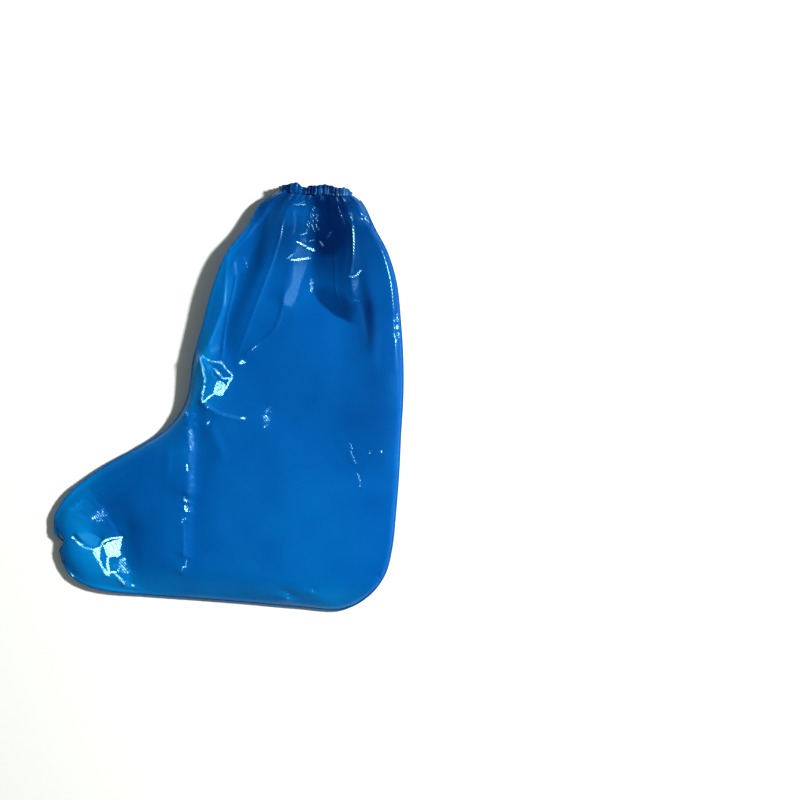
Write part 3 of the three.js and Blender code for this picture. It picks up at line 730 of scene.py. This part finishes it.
# the gathered hem: film folded over the elastic, round the ring of the mouth
hemForm = dict(
    frontEnd=(58.5, 233), backEnd=(138, 227),  # X and Y of its lower edge at the two ends
    middleZ=14, above=13, below=10.4,
    power=2.6,
    height=9,
    halfGap=1.15,  # from the ring to the middle of each wall
    wall=0.35,
    steps=560,
    wallSteps=9,
    foldSteps=7,
    crumple=[(15, 1.3, 47), (7, 0.7, 48)],  # cell, height, seed
    ruffles=29,
    radial=(0.6, 1.0),  # how far the ruffles stand in and out, at the elastic and at the edges
    overlap=0.35,  # how far they lean over their neighbours
    scallop=0.8,  # how far they lift the top edge
    topLine=[(0, -2), (3, -0.8), (8, 0.8), (14, 2.6), (18.5, 3.4), (22, 1), (25, -0.8),
             (29.5, -0.9), (32, 1.4), (40, 2.2), (48, 3.4), (52, 2.2), (60, 1.8), (65, 1.4), (68.5, 0),
             (71.5, 1.4), (76, 0.2), (79.7, -3)],
    lowLine=[(0, 2), (6, 0.6), (12, 0), (68, 0), (74, 0.6), (79.7, 1.6)],
    # the hem's blue: dark all over, lighter on the ruffles' crests and darker in their folds as painted
    # light and shade, and in random patches
    toneAndPaintedShade=(-0.95, 0.1, 0.6),  # all over, with the ruffles and in patches
    crush=0.3,
)


def hemRing():
    # evenly spaced points of the ring as (along the mouth, up), and the way it runs there
    angle = np.linspace(0, 2 * np.pi, 4001)
    bend = lambda c: np.sign(c) * np.abs(c) ** (2 / hemForm["power"])
    length = math.dist(hemForm["frontEnd"], hemForm["backEnd"])
    rise = bend(np.sin(angle))
    up = hemForm["middleZ"] + np.where(rise > 0, hemForm["above"], hemForm["below"]) * rise
    closed = np.stack([length / 2 * (1 - bend(np.cos(angle))), up], 1)
    walked = np.append(0, np.cumsum(np.linalg.norm(np.diff(closed, axis=0), axis=1)))
    want = np.linspace(0, walked[-1], hemForm["steps"], endpoint=False)
    spots = np.stack([np.interp(want, walked, closed[:, k]) for k in (0, 1)], 1)
    tangent = np.roll(spots, -1, 0) - np.roll(spots, 1, 0)
    return spots, tangent / np.linalg.norm(tangent, axis=1, keepdims=True), walked[-1]


ringPoints, ringTangent, ringLength = hemRing()
ringOutward = np.stack([-ringTangent[:, 1], ringTangent[:, 0]], 1)
mouthWay = (Vector(hemForm["backEnd"]) - Vector(hemForm["frontEnd"])).normalized()
ringPlace = Matrix((
    (mouthWay.x, 0, -mouthWay.y, hemForm["frontEnd"][0] * millimetre),
    (mouthWay.y, 0, mouthWay.x, hemForm["frontEnd"][1] * millimetre),
    (0, 1, 0, 0),
    (0, 0, 0, 1),
))


def ruffleAt(rise):
    # where the ring lies at a height above the hem's lower edge, and how its ruffles wave there
    k = np.arange(hemForm["steps"]) / hemForm["steps"]
    noiseRound = lambda count, seed: gridNoise(np.minimum(k, 1 - k) * 64 * count, k * 0, 64, seed)
    lineAt = lambda line: np.interp(ringPoints[:, 0], *np.array(hemForm[line]).T)
    phase = 2 * np.pi * hemForm["ruffles"] * k + 11 * noiseRound(11, 41)
    size = 0.8 + 0.6 * noiseRound(17, 42)
    share = np.clip(rise / hemForm["height"], 0, 1)
    depth = mix(*hemForm["radial"], np.clip((2 * share - 0.8) ** 2, 0, 1)) * size
    wave = 0.8 * np.sin(phase + 0.8 * share * noiseRound(7, 43))
    wave += 0.5 * np.sin(1.7 * phase + 2 + 3 * noiseRound(19, 49))
    for cell, height, seed in hemForm["crumple"]:
        wave += height * crumple(k * 640, k * 0 + 5 * rise, cell, seed)
    lean = hemForm["overlap"] * np.sin(2 * phase) * size
    lift = 0.35 * np.sin(phase + 0.7) + 1.2 * noiseRound(31, 45)
    lift *= hemForm["scallop"] * (0.6 + 0.4 * share)
    lift += mix(lineAt("lowLine"), lineAt("topLine"), share)
    flat = ringPoints + ringOutward * (depth * wave)[:, None] + ringTangent * lean[:, None]
    return flat, rise + lift, wave


def hemProfile():
    # the folded wall as (out from the ring, up), from the outer lower edge over the fold to
    # the inner lower edge, then back along its inner face
    gap, half = hemForm["halfGap"], hemForm["wall"] / 2
    bendAt = hemForm["height"] - gap
    levels = np.linspace(0, bendAt, hemForm["wallSteps"])
    arc = np.linspace(0, np.pi, hemForm["foldSteps"])[1:-1]
    profile = []
    for side, radius in ((1, gap + half), (-1, gap - half)):
        profile += [(side * radius, level) for level in levels]
        profile += [(side * radius * math.cos(a), bendAt + radius * math.sin(a)) for a in arc]
        profile += [(-side * radius, level) for level in levels[::-1]]
    return profile


def hemMesh():
    profile, points, waves = hemProfile(), [], []
    for out, rise in profile:
        flat, up, wave = ruffleAt(rise)
        points.append(np.column_stack([flat + ringOutward * out, up]))
        waves.append(wave)
    points, waves = np.concatenate(points), np.concatenate(waves)
    count, steps = len(profile), hemForm["steps"]
    at = lambda i, j: (i % count) * steps + j % steps
    # painted light on the ruffles' crests and painted shade in their folds, over the dark blue and random
    # patches
    allOver, ruffleLightAndShade, inPatches = hemForm["toneAndPaintedShade"]
    patchy = gridNoise(points[:, 0], points[:, 1], 7, 46)
    deep = np.clip(allOver + ruffleLightAndShade * waves + inPatches * patchy, -1, 1)
    fields = dict(toneAndPaintedShade=deep, crush=np.full(len(deep), hemForm["crush"]))
    return newPiece("cuffHem", points, quads(at, count, steps), fields, ringPlace)


cuffHem = hemMesh()
print("hem built", len(cuffHem.data.polygons), "faces round", round(ringLength), "mm")


# nodes

def connect(node, inputs):
    # gives a node's inputs plain values or other nodes' outputs
    for socket, value in inputs.items():
        if isinstance(value, bpy.types.NodeSocket):
            node.id_data.links.new(value, node.inputs[socket])
        else:
            node.inputs[socket].default_value = value


def wiring(tree, family="ShaderNode"):
    # a function that adds a node, fills its inputs and returns the output asked for
    def add(kind, inputs, out=0, **settings):
        node = tree.nodes.new(family + kind)
        for name, value in settings.items():
            setattr(node, name, value)
        connect(node, inputs)
        return node.outputs[out]
    return add


def colourRamp(add, value, stops):
    colour = add("ValToRGB", {"Fac": value})
    elements = colour.node.color_ramp.elements
    for place, _ in stops[1:-1]:
        elements.new(place)
    for element, (place, tint) in zip(elements, stops):
        element.position, element.color = place, (*tint, 1)
    return colour


def newMaterial(name):
    material = bpy.data.materials.new(name)
    material.use_nodes = True
    tree = material.node_tree
    return material, tree.nodes["Principled BSDF"], wiring(tree)


def filmMaterial(name, look):
    # glossy embossed film: its blue follows the layered film and the painted shade and light, its fine
    # crumpling the crush, and its ribs lean towards a lamp where the glint is deep
    material, shader, add = newMaterial(name)
    size = lambda key: look[key] * millimetre
    waveScale = lambda pitch: 2 * math.pi / 20 / (pitch * millimetre)
    field = lambda label: add("Attribute", {}, "Fac", attribute_name=label)
    product = lambda a, b: add("Math", {0: a, 1: b}, operation="MULTIPLY")
    place = add("TexCoord", {}, "Object")
    turned = lambda turn: add("Mapping", {"Vector": place, "Rotation": (0, 0, math.radians(turn))})
    noise = lambda scale: add("TexNoise", {"Vector": place, "Scale": scale}, "Fac")

    def ranged(value, start=(0, 1), end=(0, 1)):
        limits = {"From Min": start[0], "From Max": start[1], "To Min": end[0], "To Max": end[1]}
        return add("MapRange", {"Value": value, **limits})

    mottle = noise(look["mottleScale"])
    patchy = ranged(mottle, end=(-look["mottle"], look["mottle"]))
    blue = add("Math", {0: ranged(field("toneAndPaintedShade"), (-1, 1)), 1: patchy})
    emboss = add("TexWave", {"Vector": turned(look["embossTurn"]), "Distortion": 0.6,
                             "Scale": waveScale(look["embossPitch"])}, "Fac")
    embossed = add("Bump", {"Height": emboss, "Distance": size("embossDepth")})
    cracks = add("TexVoronoi", {"Vector": place, "Scale": 1 / size("crackCell")}, "Distance")
    cracked = add("Bump", {"Height": product(cracks, field("crush")), "Distance": size("crackDepth"),
                           "Normal": embossed})
    saw = add("TexWave", {"Vector": turned(-ribs["turn"]), "Scale": waveScale(ribs["pitch"])},
              "Fac", wave_profile="SAW")
    uneven = noise(1 / size("glintCell"))
    leaning = product(field("lean"), ranged(uneven, (0.25, 0.75), look["glintLean"]))
    frayed = add("Math", {0: field("glint"), 1: ranged(uneven, end=look["glintFray"])})
    falling = add("Math", {0: 0.5, 1: saw}, operation="SUBTRACT")
    ribHeight = product(product(falling, leaning), ranged(frayed, look["glintBorder"]))
    ribbed = add("Bump", {"Height": ribHeight, "Distance": ribs["pitch"] * millimetre,
                          "Normal": cracked})
    connect(shader, {
        "Base Color": colourRamp(add, blue, [(0, look["deep"]), (0.5, look["body"]), (1, look["light"])]),
        "Roughness": ranged(mottle, end=look["roughness"]),
        "Normal": ribbed,
        "IOR": look["refraction"],
        "Specular IOR Level": look["shine"],
        "Specular Tint": (*look["shineTint"], 1),
    })
    return material


# deep blue for layered film and painted shade, light blue for film lit through and painted light, body
# between
blueFilm = dict(
    deep=(0.0003, 0.012, 0.075), body=(0.0003, 0.085, 0.34), light=(0.0006, 0.18, 0.5),
    refraction=1.25, shine=1.0, shineTint=(0.36, 0.84, 1), roughness=(0.16, 0.21),
    mottle=0.05, mottleScale=28,
    embossTurn=-40, embossPitch=2.3, embossDepth=0.045,
    crackCell=3.2, crackDepth=0.2,
    glintCell=4.5, glintLean=(0.86, 1.1), glintFray=(-1, 1), glintBorder=(2.6, 3.4),
)
hemLook = dict(shine=0.5, roughness=(0.25, 0.34), mottle=0.12)
weldLook = dict(refraction=1.1, roughness=(0.3, 0.4))
filmFinish = filmMaterial("glossyBlueFilm", blueFilm)
hemFinish = filmMaterial("gatheredHemFilm", {**blueFilm, **hemLook})
weldFinish = filmMaterial("weldedEdge", {**blueFilm, **weldLook})


def elasticMaterial():
    # white knitted elastic: a slightly uneven cotton white with a fine fuzz
    material, shader, add = newMaterial("whiteElastic")
    fuzz = add("TexNoise", {"Vector": add("TexCoord", {}, "Object"), "Scale": 900}, "Fac")
    connect(shader, {
        "Base Color": colourRamp(add, fuzz, [(0, (0.55, 0.58, 0.62)), (1, (0.8, 0.82, 0.85))]),
        "Roughness": 0.8,
        "Normal": add("Bump", {"Height": fuzz, "Distance": 0.2 * millimetre}),
    })
    return material


def stripTree(name, material):
    # a flat strip swept along a path, with small cross ribs at even steps
    tree = bpy.data.node_groups.new(name, "GeometryNodeTree")
    ports = tree.interface
    ports.new_socket("Path", in_out="INPUT", socket_type="NodeSocketGeometry")
    for label in ("Across", "Upright", "Rib spacing", "Rib size"):
        ports.new_socket(label, in_out="INPUT", socket_type="NodeSocketFloat")
    ports.new_socket("Strip", in_out="OUTPUT", socket_type="NodeSocketGeometry")
    add, addPlain = wiring(tree, "GeometryNode"), wiring(tree)
    source, result = tree.nodes.new("NodeGroupInput").outputs, tree.nodes.new("NodeGroupOutput")
    across, upright = source["Across"], source["Upright"]
    vector = lambda *parts: addPlain("CombineXYZ", dict(enumerate(parts)))
    larger = lambda width: addPlain("Math", {0: width, 1: 1.12}, operation="MULTIPLY")
    curve = add("SetCurveNormal", {"Curve": add("MeshToCurve", {"Mesh": source["Path"]})}, mode="Z_UP")
    circle = add("CurvePrimitiveCircle", {"Resolution": 10, "Radius": 0.5})
    profile = add("Transform", {"Geometry": circle, "Scale": vector(across, upright, 1)})
    sweep = add("CurveToMesh", {"Curve": curve, "Profile Curve": profile, "Fill Caps": True})
    spots = add("CurveToPoints", {"Curve": curve, "Length": source["Rib spacing"]}, mode="LENGTH")
    rib = add("MeshUVSphere", {"Segments": 8, "Rings": 5, "Radius": 0.5})
    ribSize = vector(larger(across), larger(upright), source["Rib size"])
    placed = add("InstanceOnPoints", {"Points": spots, "Instance": rib, "Scale": ribSize,
                                      "Rotation": spots.node.outputs["Rotation"]})
    joined = add("JoinGeometry", {"Geometry": sweep})
    connect(joined.node, {"Geometry": placed})
    real = add("RealizeInstances", {"Geometry": joined})
    connect(result, {"Strip": add("SetMaterial", {"Geometry": real, "Material": material})})
    return tree


def stripAlong(name, points, closed, sizes, material):
    path = bpy.data.meshes.new(name + "Path")
    last = len(points) - 1
    edges = [(i, i + 1) for i in range(last)] + [(last, 0)] * closed
    path.from_pydata((points * millimetre).tolist(), edges, [])
    holder = inScene(name, path)
    modifier = holder.modifiers.new("strip", "NODES")
    modifier.node_group = stripTree(name + "Nodes", material)
    for item in modifier.node_group.interface.items_tree:
        if item.in_out == "INPUT" and item.name in sizes:
            modifier[item.identifier] = sizes[item.name] * millimetre
    ready = holder.evaluated_get(bpy.context.evaluated_depsgraph_get())
    mesh = bpy.data.meshes.new_from_object(ready)
    bpy.data.objects.remove(holder)
    mesh.name = name
    mesh.shade_smooth()
    return inScene(name, mesh)


# the elastic lies in the fold of the hem and follows its ruffles
elasticForm = dict(low=3.5, high=6,
                   sizes={"Across": 0.5, "Upright": 2.4, "Rib spacing": 1.3, "Rib size": 0.7})
elasticRises = np.linspace(elasticForm["low"], elasticForm["high"], 6)
elasticPath = np.mean([np.column_stack(ruffleAt(rise)[:2]) for rise in elasticRises], axis=0)[::2]
elasticBand = stripAlong("elasticBand", elasticPath, True, elasticForm["sizes"], elasticMaterial())
elasticBand.data.transform(ringPlace)

# the weld: the pinched edge where the two layers are sealed, from hem to hem round the toe
weldForm = dict(out=0.1, start=2.5, ripple=0.15, apart=0.3,
                sizes={"Across": 1.5, "Upright": 0.75, "Rib spacing": 2.6, "Rib size": 0.5})
weldLine = np.concatenate([front[2:-1], plan[-1, ::6], back[2:-1][::-1]])
weldLine = weldLine[np.hypot(*np.diff(weldLine[:, :2], axis=0, prepend=-999).T) > weldForm["apart"]]
hemEdge = np.interp(weldLine[:, 0], *zip(hemForm["frontEnd"], hemForm["backEnd"]))
weldLine = weldLine[weldLine[:, 1] < hemEdge - weldForm["start"]]
ahead = np.gradient(weldLine[:, :2], axis=0)
ahead /= np.linalg.norm(ahead, axis=1, keepdims=True)
weldLine[:, :2] += weldForm["out"] * np.stack([ahead[:, 1], -ahead[:, 0]], 1)
weldLine[:, 2] += weldForm["ripple"] * np.sin(np.arange(len(weldLine)) * 0.9)
edgeWeld = stripAlong("edgeWeld", weldLine, False, weldForm["sizes"], weldFinish)
print("strips made", len(elasticBand.data.polygons), len(edgeWeld.data.polygons))

for piece, finish in ((upperFilm, filmFinish), (lowerFilm, filmFinish), (cuffHem, hemFinish)):
    piece.data.materials.append(finish)
for piece, node, slotName in (
    (upperFilm, "upper_film", "film"),
    (lowerFilm, "lower_film", "film"),
    (cuffHem, "cuff_hem", "hem_film"),
    (elasticBand, "elastic_band", "elastic"),
    (edgeWeld, "edge_weld", "weld"),
):
    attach(piece, "root")
    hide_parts(node)

# the table, the lights and the camera
table = dict(size=8.0, below=0.0002, colour=(0.9, 0.91, 0.88), roughness=0.7, shine=0.1)
bpy.ops.mesh.primitive_plane_add(size=table["size"], location=(0, 0, -table["below"]))
tableTop = bpy.context.object
tableTop.name = "tableTop"
tableFinish, tableShader, _ = newMaterial("whiteTable")
connect(tableShader, {"Base Color": (*table["colour"], 1), "Roughness": table["roughness"],
                      "Specular IOR Level": table["shine"]})
tableTop.data.materials.append(tableFinish)


def areaLamp(name, place, size, power, colour=(1, 1, 1)):
    lamp = bpy.data.lights.new(name, "AREA")
    lamp.shape, lamp.energy, lamp.color = "RECTANGLE", power, colour
    lamp.size, lamp.size_y = size
    holder = inScene(name, lamp)
    holder.location = place
    return holder


for name, box in softboxes.items():
    place, way = lampPlace(box)
    lamp = areaLamp(name, place, box["size"], box["power"])
    lamp.rotation_euler = (-way).to_track_quat("-Z", "Y").to_euler()

# a wide weak panel far above, which only lightens the shadow
panel = dict(place=viewMiddle + Vector((0, 0, 4.5)), size=(2.0, 2.0), power=7.5, colour=(0.9, 1.0, 0.9))
areaLamp("panel", **panel).visible_glossy = False

sky = dict(overhead=0.012, band=0.25, bandTo=0.72, fade=(-0.12, 0.1), tint=(0.96, 1.05, 0.94))
world = bpy.data.worlds.new("studio")
bpy.context.scene.world = world
world.use_nodes = True
add = wiring(world.node_tree)
skyHeight = add("SeparateXYZ", {0: add("TexCoord", {}, "Generated")}, "Z")
band, overhead = ([sky[part] * c for c in sky["tint"]] for part in ("band", "overhead"))
fadeFrom, fadeTo = (sky["bandTo"] + shift for shift in sky["fade"])
skyStops = [(0, band), (fadeFrom, band), (fadeTo, overhead), (1, overhead)]
connect(world.node_tree.nodes["Background"], {"Color": colourRamp(add, skyHeight, skyStops)})

lens = bpy.data.cameras.new("camera")
lens.lens, lens.sensor_width, lens.clip_end = cameraSetup["lens"], cameraSetup["sensor"], 20
camera = inScene("camera", lens)
camera.location = cameraPlace
bpy.context.scene.camera = camera
bpy.context.scene.view_settings.view_transform = "Standard"
print("stage set")
